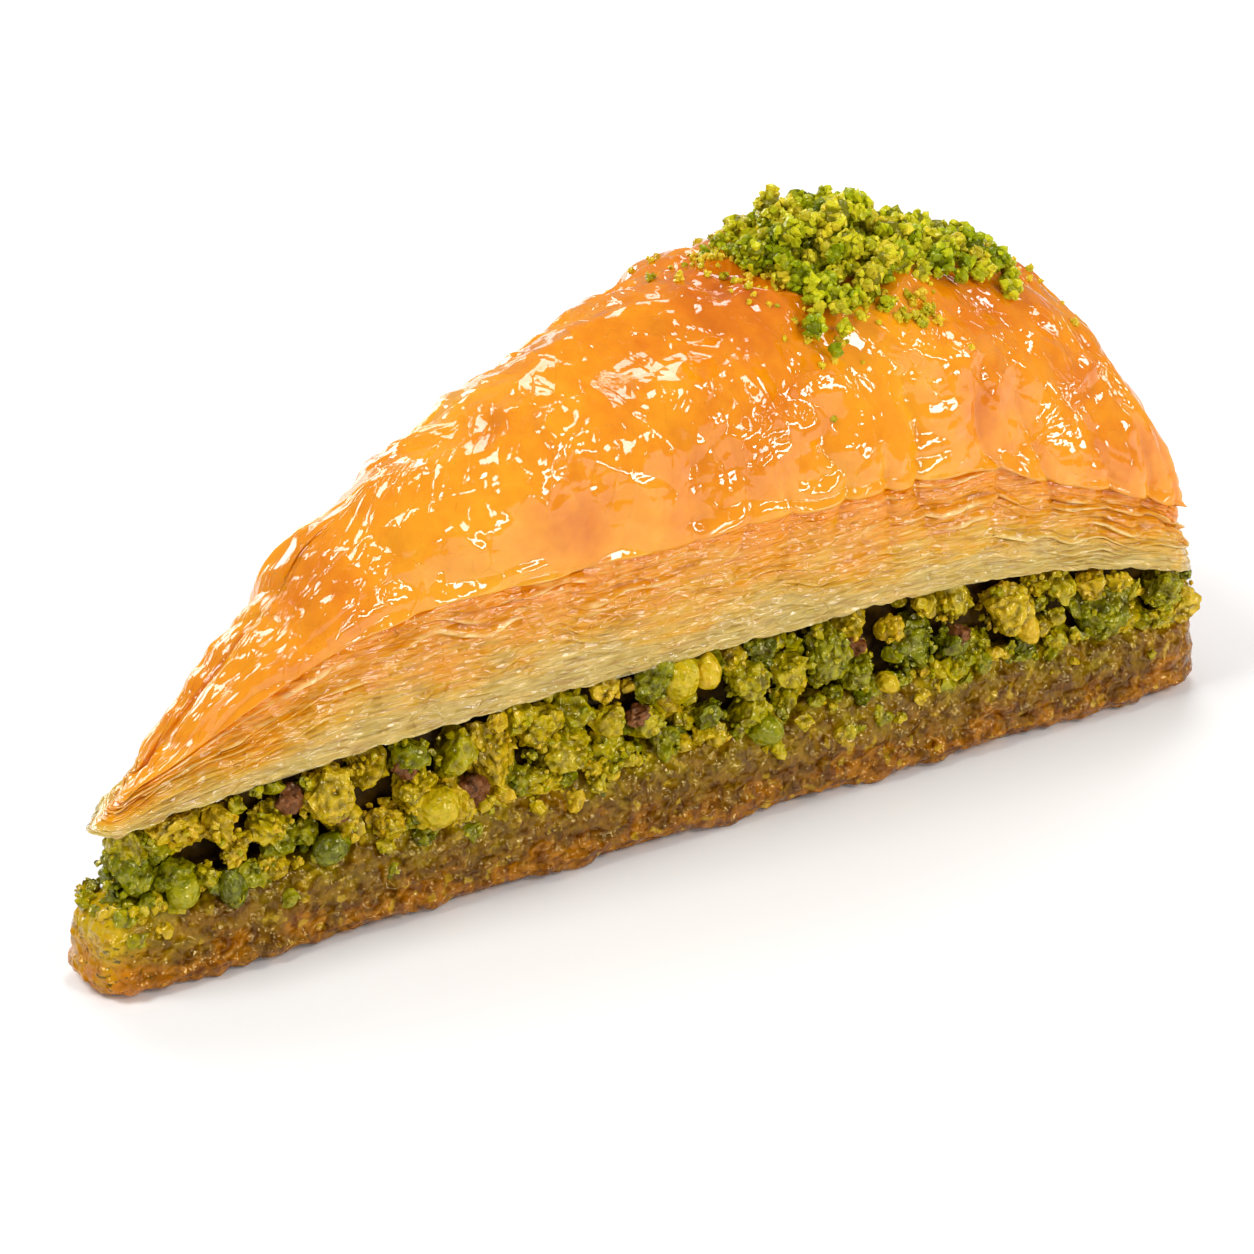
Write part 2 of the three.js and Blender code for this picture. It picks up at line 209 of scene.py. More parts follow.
def laid(name, rings, attributes):
    """A closed piece: a grid whose rows are laid along `rings`, with its seam and its two ends merged."""
    rows, columns = rings.shape[:2]
    bpy.ops.object.select_all(action="DESELECT")
    bpy.ops.mesh.primitive_grid_add(x_subdivisions=columns, y_subdivisions=rows - 1, size=1)
    piece = bpy.context.object
    piece.name = piece.data.name = name
    wrapped = np.concatenate([rings, rings[:, :1]], axis=1)
    places = wrapped.reshape(-1, 3) * MM + np.array([shift, 0, 0])
    piece.data.vertices.foreach_set("co", places.astype(np.float32).ravel())
    for label, values in attributes.items():
        values = np.concatenate([values, values[:, :1]], axis=1)
        if values.ndim == 3:
            made = piece.data.attributes.new(label, "FLOAT_VECTOR", "POINT")
            made.data.foreach_set("vector", values.ravel())
        else:
            mark(piece, label, values.ravel())
    bpy.ops.object.mode_set(mode="EDIT")
    bpy.ops.mesh.select_all(action="SELECT")
    bpy.ops.mesh.remove_doubles(threshold=0.002 * MM)
    bpy.ops.mesh.normals_make_consistent(inside=False)
    bpy.ops.object.mode_set(mode="OBJECT")
    bpy.ops.object.shade_smooth()
    return piece


def finished(piece, material, slot, *nodes):
    piece.data.materials.clear()
    piece.data.materials.append(material)
    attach(piece, "root")
    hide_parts(*nodes)
    return piece


# Materials

def colour(red, green, blue):
    """A linear colour from the 0 to 255 values that a screen shows."""
    levels = np.array([red, green, blue]) / 255
    linear = np.where(levels <= 0.04045, levels / 12.92, ((levels + 0.055) / 1.055) ** 2.4)
    return (*linear, 1)


class Finish:
    """A material under construction: its shader and short ways to add nodes."""

    def __init__(self, name):
        self.material = bpy.data.materials.new(name)
        self.material.use_nodes = True
        self.tree = self.material.node_tree
        self.shader = self.tree.nodes["Principled BSDF"]

    def node(self, kind, inputs=(), **settings):
        made = self.tree.nodes.new(kind)
        for key, value in settings.items():
            setattr(made, key, value)
        for socket, value in dict(inputs).items():
            if isinstance(value, bpy.types.NodeSocket):
                self.tree.links.new(value, made.inputs[socket])
            else:
                made.inputs[socket].default_value = value
        return made

    def set(self, **values):
        for key, value in values.items():
            socket = self.shader.inputs[key.replace("_", " ")]
            if isinstance(value, bpy.types.NodeSocket):
                self.tree.links.new(value, socket)
            else:
                socket.default_value = value

    def attribute(self, name):
        return self.node("ShaderNodeAttribute", attribute_name=name).outputs["Fac"]

    def speckle(self, size, detail=2.0):
        """Noise with lumps about `size` millimetres across."""
        place = self.node("ShaderNodeTexCoord").outputs["Object"]
        inputs = {"Vector": place, "Scale": 1 / (size * MM), "Detail": detail}
        return self.node("ShaderNodeTexNoise", inputs).outputs["Fac"]

    def streaks(self, along, up, detail=4.0):
        """Noise drawn out round the wedge: lumps `along` millimetres long and `up` high."""
        place = self.node("ShaderNodeAttribute", attribute_name="round").outputs["Vector"]
        shares = (1 / along, 1 / along, 1 / up)
        drawn = self.node("ShaderNodeMapping", {"Vector": place, "Scale": shares}).outputs["Vector"]
        inputs = {"Vector": drawn, "Scale": 1.0, "Detail": detail}
        return self.node("ShaderNodeTexNoise", inputs).outputs["Fac"]

    def cells(self, size, up=None, sway=0.5):
        """Places for a pattern of cells with swaying borders, `size` millimetres across.

        With `up`, they are laid round the wedge and are that high.
        """
        if up is None:
            place = self.node("ShaderNodeTexCoord").outputs["Object"]
            shares = (1 / (size * MM),) * 3
        else:
            place = self.node("ShaderNodeAttribute", attribute_name="round").outputs["Vector"]
            shares = (1 / size, 1 / size, 1 / up)
        drawn = self.node("ShaderNodeMapping", {"Vector": place, "Scale": shares}).outputs["Vector"]
        gentle = {"Vector": drawn, "Scale": 0.9, "Detail": 0.0}
        noise_colour = self.node("ShaderNodeTexNoise", gentle).outputs["Color"]
        return self.node("ShaderNodeVectorMath", {0: noise_colour, 1: (sway,) * 3, 2: drawn},
                         operation="MULTIPLY_ADD").outputs["Vector"]

    def facets(self, swayed):
        """A height that slopes its own way in each cell, as on crumpled film."""
        cell = self.node("ShaderNodeTexVoronoi", {"Vector": swayed, "Scale": 1.0})
        away = self.node("ShaderNodeVectorMath", {0: swayed, 1: cell.outputs["Position"]},
                         operation="SUBTRACT").outputs["Vector"]
        slope = self.node("ShaderNodeVectorMath", {0: cell.outputs["Color"], 1: (0.5,) * 3},
                          operation="SUBTRACT").outputs["Vector"]
        inputs = {0: away, 1: slope}
        return self.node("ShaderNodeVectorMath", inputs, operation="DOT_PRODUCT").outputs["Value"]

    def creases(self, swayed, width):
        """Thin ridges along the borders of the cells, `width` cells wide."""
        inputs = {"Vector": swayed, "Scale": 1.0}
        edge = self.node("ShaderNodeTexVoronoi", inputs, feature="DISTANCE_TO_EDGE").outputs["Distance"]
        return self.range(edge, 0, width, 1, 0)

    def ramp(self, value, stops):
        """Colours at places along `value`: each stop is its place, then red, green and blue."""
        made = self.node("ShaderNodeValToRGB", {"Fac": value})
        band = made.color_ramp.elements
        while len(band) < len(stops):
            band.new(0.5)
        for element, (place, *levels) in zip(band, stops):
            element.position = place
            element.color = colour(*levels)
        return made.outputs["Color"]

    def blend(self, share, a, b, mode="MIX"):
        made = self.node("ShaderNodeMix", data_type="RGBA", blend_type=mode)
        for index, value in ((0, share), (6, a), (7, b)):
            if isinstance(value, bpy.types.NodeSocket):
                self.tree.links.new(value, made.inputs[index])
            else:
                made.inputs[index].default_value = value
        return made.outputs[2]

    def range(self, value, low, high, to_low=0.0, to_high=1.0):
        inputs = {"Value": value, "From Min": low, "From Max": high, "To Min": to_low, "To Max": to_high}
        return self.node("ShaderNodeMapRange", inputs).outputs["Result"]

    def about_nought(self, noise_level, reach):
        """Noise spread out from -reach to reach."""
        return self.range(noise_level, 0.3, 0.7, -reach, reach)

    def maths(self, operation, a, b):
        return self.node("ShaderNodeMath", {0: a, 1: b}, operation=operation).outputs["Value"]

    def bump(self, height, distance, before=None, strength=1.0):
        """Relief `distance` millimetres high, on top of the relief `before`."""
        inputs = {"Height": height, "Distance": distance * MM, "Strength": strength}
        if before is not None:
            inputs["Normal"] = before
        return self.node("ShaderNodeBump", inputs).outputs["Normal"]


def crust_finish():
    """Golden crust under a coat of syrup: orange, deeper in patches, paler towards its cut edge.

    The film of syrup has wide facets, upright puckers on the flanks, and crinkled patches with fine lines.
    """
    finish = Finish("glazed_crust")
    tone = finish.attribute("tone")
    cloud = finish.about_nought(finish.speckle(10, 2), 0.16)
    fine = finish.about_nought(finish.speckle(1.6, 3), 0.06)
    level = finish.maths("ADD", finish.maths("ADD", tone, cloud), fine)
    tint = finish.ramp(level, [
        (0.0, 242, 186, 56),
        (0.25, 240, 164, 24),
        (0.5, 236, 146, 12),
        (0.75, 218, 118, 6),
        (1.0, 190, 90, 4),
    ])
    clusters = finish.range(finish.speckle(9, 1), 0.5, 0.62)
    large = finish.cells(5.6, sway=0.7)
    upright = finish.cells(3.4, 8.0)
    facets = finish.facets(large)
    fan = finish.maths("SINE", finish.maths("MULTIPLY", facets, 45.0), 0.0)
    fan = finish.maths("MULTIPLY", finish.maths("MULTIPLY", fan, finish.speckle(1.5)), clusters)
    crinkles = finish.maths("MULTIPLY", finish.facets(finish.cells(2.2)), clusters)
    flank = finish.attribute("flank")
    somewhere = finish.maths("MULTIPLY", finish.range(finish.speckle(5, 2), 0.5, 0.56), flank)
    ridges = finish.maths("MULTIPLY", finish.creases(upright, 0.06), somewhere)
    puckers = finish.maths("MULTIPLY", finish.facets(upright), flank)
    wrinkles = finish.bump(finish.speckle(1.0, 1), 0.05)
    film = finish.bump(facets, 2.6, finish.bump(puckers, 0.9, wrinkles))
    film = finish.bump(crinkles, 0.4, finish.bump(fan, 0.06, film))
    film = finish.bump(ridges, 0.09, film)
    finish.set(Base_Color=tint, Roughness=0.5, Specular_IOR_Level=0.0, Subsurface_Weight=0.2,
               Subsurface_Radius=(1.0, 0.45, 0.12), Subsurface_Scale=1.6 * MM, Normal=wrinkles,
               Coat_Weight=1.0, Coat_Roughness=0.04, Coat_IOR=1.62, Coat_Normal=film)
    return finish.material


def leaf_finish():
    """Thin leaves: greenish cream low down, then straw, then the crust's gold, with fibres along them,
    painted shade in the grooves under their lips and a painted pale glow along the lips.
    """
    finish = Finish("crisp_leaves")
    fibre = finish.streaks(3.4, 0.36)
    level = finish.attribute("height")
    for part in (finish.range(finish.attribute("leaf"), 0, 1, -0.05, 0.05),
                 finish.about_nought(finish.speckle(6, 3), 0.14),
                 finish.about_nought(finish.streaks(9.0, 1.0), 0.1),
                 finish.about_nought(fibre, 0.08)):
        level = finish.maths("ADD", level, part)
    tint = finish.ramp(level, [
        (0.0, 190, 162, 80),
        (0.2, 204, 168, 84),
        (0.38, 214, 160, 40),
        (0.58, 224, 148, 8),
        (1.0, 232, 138, 2),
    ])
    tint = finish.blend(finish.range(fibre, 0.56, 0.68, 0, 0.4), tint, colour(246, 212, 124))
    tint = finish.blend(finish.range(fibre, 0.34, 0.46, 0.45, 0), tint, colour(206, 150, 50), "MULTIPLY")
    # Painted shade: the colour darkens in the grooves under each leaf's lip, where the "depth" mark is
    # low.
    painted_groove_shade = finish.range(finish.attribute("depth"), 0.1, 0.36, 0.7, 0)
    tint = finish.blend(painted_groove_shade, tint, colour(220, 170, 80), "MULTIPLY")
    # Painted light: a pale line along each leaf's outer lip, standing for light shining through the thin
    # edge, here and there.
    painted_lip_glow = finish.maths("MULTIPLY", finish.range(finish.attribute("depth"), 0.7, 1.0, 0, 0.7),
                         finish.range(finish.streaks(3.0, 2.0), 0.4, 0.6))
    tint = finish.blend(painted_lip_glow, tint, colour(252, 220, 150))
    strands = finish.bump(finish.streaks(2.6, 0.5, 1.0), 0.4)
    somewhere = finish.range(finish.speckle(3, 2), 0.48, 0.55)
    rims = finish.maths("MULTIPLY", finish.creases(finish.cells(2.8, 1.2), 0.1), somewhere)
    film = finish.bump(rims, 0.07, finish.bump(finish.facets(finish.cells(1.6)), 0.7, strands))
    finish.set(Base_Color=tint, Roughness=0.45, Specular_IOR_Level=0.0, Subsurface_Weight=0.3,
               Subsurface_Radius=(1.0, 0.7, 0.3), Subsurface_Scale=1.6 * MM, Normal=film,
               Coat_Weight=0.9, Coat_Roughness=0.06, Coat_IOR=1.6, Coat_Normal=film)
    return finish.material


# The tints that syrup gives to reflections
SYRUP = (1.0, 0.86, 0.5, 1.0)
DEEP_SYRUP = (1.0, 0.8, 0.35, 1.0)


def slab_finish():
    """Wet, soaked pastry: olive-brown, amber at its foot, yellow at its point, orange-brown at its rim."""
    finish = Finish("soaked_slab")
    level = finish.attribute("height")
    for part in (finish.about_nought(finish.speckle(4, 3), 0.26),
                 finish.about_nought(finish.streaks(3.0, 0.6), 0.12)):
        level = finish.maths("ADD", level, part)
    tint = finish.ramp(level, [
        (0.0, 160, 96, 0),
        (0.2, 168, 104, 0),
        (0.36, 128, 80, 0),
        (0.6, 136, 96, 0),
        (0.8, 140, 108, 0),
        (1.0, 152, 128, 2),
    ])
    grain = finish.range(finish.speckle(1.3, 3), 0.42, 0.62, 0.0, 0.8)
    tint = finish.blend(grain, tint, colour(150, 110, 40), "MULTIPLY")
    crumb = finish.range(finish.speckle(1.5, 3), 0.6, 0.68, 0.0, 0.5)
    tint = finish.blend(crumb, tint, colour(212, 176, 36))
    end = finish.attribute("end")
    point = finish.blend(finish.range(level, 0.2, 0.8), colour(206, 124, 0), colour(214, 176, 4))
    near_point = finish.range(finish.maths("ADD", end, finish.speckle(3, 3)), 0.75, 1.3, 0, 0.85)
    tint = finish.blend(near_point, tint, point)
    tint = finish.blend(finish.range(end, -0.9, -0.1, 0.8, 0), tint, colour(190, 106, 0))
    specks = finish.maths("MULTIPLY", finish.range(finish.streaks(1.1, 0.6), 0.6, 0.64),
                          finish.range(end, 0.2, 0.6, 0, 0.8))
    tint = finish.blend(specks, tint, colour(56, 58, 2))
    grains = finish.bump(finish.speckle(1.3, 1), 0.9)
    wet = finish.bump(finish.facets(finish.cells(1.0)), 0.9, grains)
    finish.set(Base_Color=tint, Roughness=0.14, Specular_IOR_Level=0.65, Specular_Tint=DEEP_SYRUP,
               Subsurface_Weight=0.3, Subsurface_Radius=(1.0, 0.6, 0.12), Subsurface_Scale=2.0 * MM,
               Normal=wet)
    return finish.material


# Nut flesh: its colours from yellow to deep green, the painted shade laid into its clefts, and its gloss
NUT_FINISHES = {
    "chopped_nut": ([
        (0.0, 222, 178, 28),
        (0.3, 202, 174, 6),
        (0.62, 168, 158, 0),
        (0.88, 124, 128, 0),
        (1.0, 86, 90, 0),
    ], colour(58, 38, 0), 0.7),
    "ground_nut": ([
        (0.0, 232, 208, 48),
        (0.4, 214, 208, 30),
        (0.7, 186, 192, 18),
        (1.0, 136, 152, 6),
    ], colour(46, 52, 0), 0.25),
    "loose_nut": ([
        (0.0, 244, 202, 50),
        (0.5, 222, 196, 36),
        (1.0, 164, 162, 16),
    ], colour(90, 78, 4), 0.3),
}


def nut_finish(name):
    finish = Finish(name)
    stops, painted_cleft_shade, gloss = NUT_FINISHES[name]
    mottle = finish.about_nought(finish.speckle(0.9, 3), 0.14)
    tint = finish.ramp(finish.maths("ADD", finish.attribute("tint"), mottle), stops)
    # Painted shade: darker towards the cleft shade colour where the "depth" mark is high.
    tint = finish.blend(finish.range(finish.attribute("depth"), 0, 1, 0, 0.85), tint, painted_cleft_shade)
    grain = finish.bump(finish.speckle(0.8, 1), 0.4)
    rough = finish.bump(finish.facets(finish.cells(0.9)), 0.6, grain)
    finish.set(Base_Color=tint, Roughness=0.16, Specular_IOR_Level=gloss, Specular_Tint=SYRUP,
               Normal=rough)
    return finish.material


def skin_finish():
    finish = Finish("nut_skin")
    tint = finish.ramp(finish.speckle(0.8, 3), [(0.3, 66, 26, 10), (0.6, 134, 78, 40)])
    finish.set(Base_Color=tint, Roughness=0.3, Specular_Tint=SYRUP,
               Normal=finish.bump(finish.facets(finish.cells(0.6)), 0.4))
    return finish.material


# Painted shade: a dark brown for the sheet behind the nuts, standing for the filling deeper in, which lies
# in shadow.
def nut_shadow_finish():
    finish = Finish("nut_shadow")
    tint = finish.ramp(finish.speckle(1.5, 3), [(0.35, 34, 16, 2), (0.65, 76, 52, 4)])
    finish.set(Base_Color=tint, Roughness=0.5, Specular_IOR_Level=0.2, Specular_Tint=SYRUP,
               Normal=finish.bump(finish.speckle(0.8, 3), 0.2, strength=0.8))
    return finish.material


def floor_finish():
    finish = Finish("white_floor")
    finish.set(Base_Color=(0.93, 0.93, 0.93, 1), Roughness=0.6,
               Normal=finish.bump(finish.speckle(3, 2), 0.02, strength=0.1))
    return finish.material


# The lid: leaves below, crust above

BAND_STEPS = 25
TOP_STEPS = 240
SHOULDER = 60  # how sharply the lid's top turns over its cut edge
LEAVES = 16
LEAF_THICKNESS = (0.3, 1.3)  # of the lowest and the highest leaf, before they are fitted to their zone
LEAF_ZONE = {"tip": 4.2, "gain": 8.8, "reach": 0.28, "rim_drop": 4.5, "drop_from": 0.72}
LEAF_TIP_FLAP = 2.0  # how far the lowest leaves stand out at the point
CRUST_RINGS = 94
CRUST_LIP = (0.12, 0.7)  # how far its edge stands out over the leaves, near the point and near the rim
CRUST_FOLD = 0.4  # height of the folds just above that edge
PLEAT_SPACING = 6.5
PLEAT_HEIGHT = (0.12, 1.1)  # near the point and near the rim
RIDGE = (0.88, 0.99)  # shares of the way up over which the puckers fade out at the top

# A leaf's edge: shares of its thickness, and how far out it stands there as a share of its lip
LEAF_SECTION = [(0.0, -0.4), (0.03, 0.9), (0.2, 1.0), (0.55, 0.35), (0.92, -0.3)]

# The crust's relief: height, spacing, seed, how many directions, and how softly each patch ends
WIDE_FOLDS = (1.15, 13.0, 3, 5, 0.3)
MIDDLE_FOLDS = (0.5, 5.5, 60, 6, 0.2)
FINE_FOLDS = (0.1, 2.4, 120, 6, 0.15)


def leaf_zone(u):
    """How far up the lid's side the separate leaves show, measured along the surface."""
    rise = LEAF_ZONE["gain"] * smoothstep(u, 0, LEAF_ZONE["reach"])
    return LEAF_ZONE["tip"] + rise - LEAF_ZONE["rim_drop"] * smoothstep(u, LEAF_ZONE["drop_from"], 1.0)


def lid_profiles():
    """The lid's surface without relief: for each column, points from the lower edge up to the spine."""
    edge = lid_outline
    rise = np.linspace(0, 1, BAND_STEPS)[:, None]
    band = edge.ring(-LEAN * rise, filling_top(edge.u) + cut_band(edge.u) * rise)
    share = np.cos(np.linspace(0, math.pi / 2, TOP_STEPS))[1:, None]
    top = edge.ring(-LEAN, 0)
    spine_u = mix(*SPINE, edge.u)
    u = mix(spine_u, edge.u, share)
    x = mix(spine_u * WEDGE_LENGTH, top[:, 0], share)
    y = top[:, 1] * share
    foot = filling_top(u) + cut_band(u)
    z = foot + (lid_top(u, edge.y * share) - foot) * np.sqrt(1 - share**SHOULDER)
    return np.concatenate([band, np.stack([x, y, z], axis=-1)])


profiles = lid_profiles()
steps = np.linalg.norm(np.diff(profiles, axis=0), axis=-1)
profile_reach = np.concatenate([np.zeros((1, COLUMNS)), np.cumsum(steps, axis=0)])


def on_lid(reach):
    """Points on the lid's surface, each `reach` along its column's profile."""
    placed = np.empty((*reach.shape, 3))
    for i in range(COLUMNS):
        for axis in range(3):
            placed[:, i, axis] = np.interp(reach[:, i], profile_reach[:, i], profiles[:, i, axis])
    return placed


def round_the_wedge(level):
    """Places for patterns that run round the wedge: the way round as a circle, and the height `level`."""
    turn = lid_outline.along / lid_outline.along[-1] * 2 * math.pi
    radius = lid_outline.along[-1] / (2 * math.pi)
    level = np.broadcast_to(level, (len(level), COLUMNS))
    return np.stack([radius * np.cos(turn) + 0 * level, radius * np.sin(turn) + 0 * level, level], axis=-1)


def folds(points, height, spacing, seed, turns, soft):
    """Sharp-edged folds in several directions, as in crumpled film, each only here and there."""
    relief = np.zeros(points.shape[:-1])
    chance = random.Random(seed)
    for turn in range(turns):
        heading = Vector((chance.gauss(0, 1), chance.gauss(0, 1), chance.gauss(0, 0.6))).normalized()
        pitch = spacing * chance.uniform(0.75, 1.3)
        bend = 0.6 * noise_at(points, 1.2 * spacing, seed + turn)
        phase = points @ np.array(heading) / pitch + bend + chance.random()
        ridge = 1 - 4 * np.abs(phase - np.round(phase))
        patch = smoothstep(noise_at(points, 1.5 * spacing, seed + 40 + turn), -soft, soft)
        relief += ridge * patch / math.sqrt(turns)
    return height * relief


def crumple(points, reach):
    """The crust's relief: wide facets, smaller creases across them, and fine wrinkles here and there."""
    wide = folds(points, *WIDE_FOLDS)
    middle = folds(points, *MIDDLE_FOLDS)
    fine = folds(points, *FINE_FOLDS)
    somewhere = smoothstep(noise_at(points, 9.0, 77), -0.15, 0.3)
    return (wide + middle * mix(0.25, 1, somewhere) + fine * somewhere) * smoothstep(reach, -0.5, 4)


def pleats(level):
    """Upright puffs with sharp creases between them, mostly round the rim half, at the height `level`."""
    edge = lid_outline
    places = round_the_wedge(level)
    phase = edge.along / PLEAT_SPACING + 0.9 * noise_at(places, 15.0, 7) + 0.35 * noise_at(places, 6.0, 21)
    puff = np.abs(np.sin(math.pi * phase)) ** 0.5
    return (puff - 0.65) * mix(*PLEAT_HEIGHT, smoothstep(edge.u, 0.4, 0.75))


def leaf_tops():
    """How high up the lid each leaf's lower edge runs, a row for each, and the top one's upper edge."""
    u = lid_outline.u
    thickness = np.linspace(*LEAF_THICKNESS, LEAVES)[:, None]
    rank = np.arange(LEAVES)[:, None]
    places = round_the_wedge(31.0 * rank)
    uneven = 1 + 1.3 * noise_at(places, 12.0, 1) + 0.6 * noise_at(places, 4.5, 2)
    thickness = thickness * np.clip(uneven, 0.25, 2)
    thickness = thickness / thickness.sum(axis=0) * leaf_zone(u)
    level = np.concatenate([np.zeros((1, COLUMNS)), np.cumsum(thickness, axis=0)])
    share = np.arange(LEAVES + 1)[:, None] / LEAVES
    swing = mix(0.7, 1.5, smoothstep(u, 0.6, 0.85)) * share**0.7
    swing = swing * np.minimum(1, leaf_zone(u) / 8)
    level = level + swing * noise_at(round_the_wedge(6.0 * share), 9.0, 3)
    level = level - 0.4 * share * pleats(leaf_zone(u) * share)
    places = round_the_wedge(9.0 * rank)
    ragged = 0.5 * noise_at(places, 2.4, 4) + 0.25 * noise_at(places, 1.0, 5)
    level[:-1] += ragged * np.clip(1 - rank / 3, 0.2, 1)
    for k in range(1, LEAVES + 1):
        level[k] = np.maximum(level[k], level[k - 1] + 0.07)
    return level


tops = leaf_tops()


def leaf_lips():
    """How far each leaf's edge stands out, a row for each."""
    edge = lid_outline
    chance = random.Random(8)
    rank = np.arange(LEAVES)[:, None]
    bold = np.array([chance.uniform(0.5, 1.1) for _ in range(LEAVES)])[:, None]
    slight = mix(0.02, 0.8, (rank / LEAVES) ** 1.6)
    strong = mix(0.08, 1.35, (rank / LEAVES) ** 1.3)
    depth = mix(slight, strong, smoothstep(edge.u, 0.62, 0.86)) * bold
    return depth * np.clip(0.3 + 2.2 * noise_at(round_the_wedge(23.0 * rank), 10.0, 6), 0.02, 1.4)


def make_leaves():
    edge = lid_outline
    chance = random.Random(12)
    lips = leaf_lips()
    rows, outs, heights, tints, lip_shade_and_glow = [], [], [], [], []
    for k in range(LEAVES):
        tint = chance.random()
        for share, out in LEAF_SECTION:
            rows.append(mix(tops[k], tops[k + 1], share))
            outs.append(out * lips[k])
            heights.append(np.clip(rows[-1] / leaf_zone(edge.u), 0, 1))
            tints.append(np.full(COLUMNS, tint))
            # Painted shade and light: the "depth" mark is low in the grooves and high on the outer lips,
            # and the material darkens and brightens the leaves by it.
            lip_shade_and_glow.append(np.clip(0.4 + 0.6 * out * np.minimum(1, lips[k] / 0.5), 0, 1))
    reach = np.array(rows)
    base = on_lid(reach)
    height = np.array(heights)
    fibre = round_the_wedge(reach * 7)
    wrinkle = 0.16 * noise_at(fibre, 2.6, 5) + 0.1 * noise_at(fibre, 1.1, 6) + 0.4 * noise_at(base, 5.0, 9)
    flap = LEAF_TIP_FLAP * np.maximum(0, -edge.nx) * np.exp(-edge.x / 5.0) * (1 - height) ** 1.5
    out = np.array(outs) + wrinkle + flap + pleats(reach) * height**1.5
    surface = base + grid_normals(base) * out[..., None]
    under = edge.ring(-2.0, surface[0, :, 2] + 0.25)
    cap = on_lid(tops[-1:] + 2.5)[0] - 1.3 * grid_normals(base)[-1]
    below = edge.spine(filling_top(edge.u) + 0.5)
    above = edge.spine(filling_top(edge.u) + 6.0)
    rings = np.concatenate([[below, under], surface, [cap, above]])
    pad = ((2, 2), (0, 0))
    marks = {
        "height": np.pad(height, pad, mode="edge"),
        "leaf": np.pad(np.array(tints), pad, mode="edge"),
        "depth": np.pad(np.array(lip_shade_and_glow), pad),
        "round": np.pad(round_the_wedge(reach), (*pad, (0, 0)), mode="edge"),
    }
    piece = laid("lid_leaves", rings, marks)
    return finished(piece, leaf_finish(), "crisp_pastry", "top_pastry")


def make_crust():
    edge = lid_outline
    start = tops[-1]
    share = (1 - np.cos(np.linspace(0, math.pi / 2, CRUST_RINGS)))[:, None]
    share = mix(np.linspace(0, 1, CRUST_RINGS)[:, None], share, 0.25)
    reach = mix(start, profile_reach[-1], share)
    base = on_lid(reach)
    past = reach - start
    lip = mix(*CRUST_LIP, smoothstep(edge.u, 0.6, 0.85)) * np.exp(-past / 1.2)
    wander = 4.0 * noise_at(round_the_wedge(past), 9.0, 14)
    folded = CRUST_FOLD * np.abs(np.sin(past * 1.1 + wander)) * np.exp(-past / 4.0)
    out = crumple(base, past) + lip + folded + pleats(reach) * np.exp(-((past / 13.0) ** 2))
    normals = grid_normals(base)
    normals[-1] = [0, 0, 1]
    out[-1] = 0.5 * (out[-1] + np.roll(out[-1, ::-1], 1))
    surface = base + normals * out[..., None]
    under = surface[0] - normals[0] * 0.9 + [0, 0, 0.1]
    rings = np.concatenate([[edge.spine(filling_top(edge.u) + 7.0), under], surface])
    crown = smoothstep(share, 0.35, 1) * smoothstep(edge.u, 0.3, 0.8)
    tone = 0.54 + 0.22 * noise_at(surface, 20, 31) + 0.14 * crown
    tone = tone - 0.12 * np.exp(-past / 3.0)
    pad = ((2, 0), (0, 0))
    marks = {
        "tone": np.pad(tone, pad, mode="edge"),
        "flank": np.pad(1 - smoothstep(share + 0 * past, *RIDGE), pad, mode="edge"),
        "round": np.pad(round_the_wedge(past), (*pad, (0, 0)), mode="edge"),
    }
    piece = laid("lid_crust", rings, marks)
    finished(piece, crust_finish(), "crisp_pastry", "top_pastry")
    return surface


# The soaked slab

# How far out the slab's side stands, at shares of its height
SLAB_SIDE = [
    (-0.7, 0), (0.6, 0.06), (SLAB_OUT, 0.17), (0.8, 0.34),
    (0.9, 0.55), (0.3, 0.78), (-0.9, 0.95), (-2.6, 1)]
SLAB_RINGS = 60


def make_slab():
    edge = slab_outline
    out, up = np.array(SLAB_SIDE).T
    rise = np.linspace(0, 1, SLAB_RINGS)[:, None]
    side = edge.ring(np.interp(rise, up, out), slab_top(edge.u) * rise)
    normals = grid_normals(side)
    lumps = 0.55 * noise_at(side * [1, 1, 2], 8.0, 11) + 0.3 * noise_at(side, 3.0, 12)
    layers = 0.3 * noise_at(side * [0.35, 0.35, 2.4], 2.0, 13) * smoothstep(0.5 - rise, 0, 0.2)
    foot = 0.9 * noise_at(round_the_wedge(np.array([[0.0]])), 5.0, 14) * smoothstep(0.3 - rise, 0, 0.3)
    grain = 0.34 * noise_at(side, 1.5, 15) + 0.2 * noise_at(side, 0.8, 16)
    relief = (lumps + layers + foot + grain) * smoothstep(rise, 0, 0.05)
    surface = side + normals * relief[..., None]
    surface[..., 2] += 0.9 * noise_at(side * [1, 1, 0], 5.0, 17) * smoothstep(rise, 0.6, 0.95)
    surface[..., 2] = np.maximum(surface[..., 2], 0)
    rings = np.concatenate([[edge.spine(0.0)], surface, [edge.spine(slab_top(edge.u))]])
    height = np.broadcast_to(rise, (SLAB_RINGS, COLUMNS))
    end = np.exp(-edge.x / 5.0) - np.exp(-(WEDGE_LENGTH + RIM_BULGE - edge.x) / 6.0)
    end = np.broadcast_to(end, (SLAB_RINGS, COLUMNS))
    pad = ((1, 1), (0, 0))
    marks = {
        "height": np.pad(height, pad, mode="edge"),
        "end": np.pad(end, pad, mode="edge"),
        "round": np.pad(round_the_wedge(height * 11), (*pad, (0, 0)), mode="edge"),
    }
    piece = laid("soaked_slab", rings, marks)
    return finished(piece, slab_finish(), "soaked_pastry", "base_pastry")


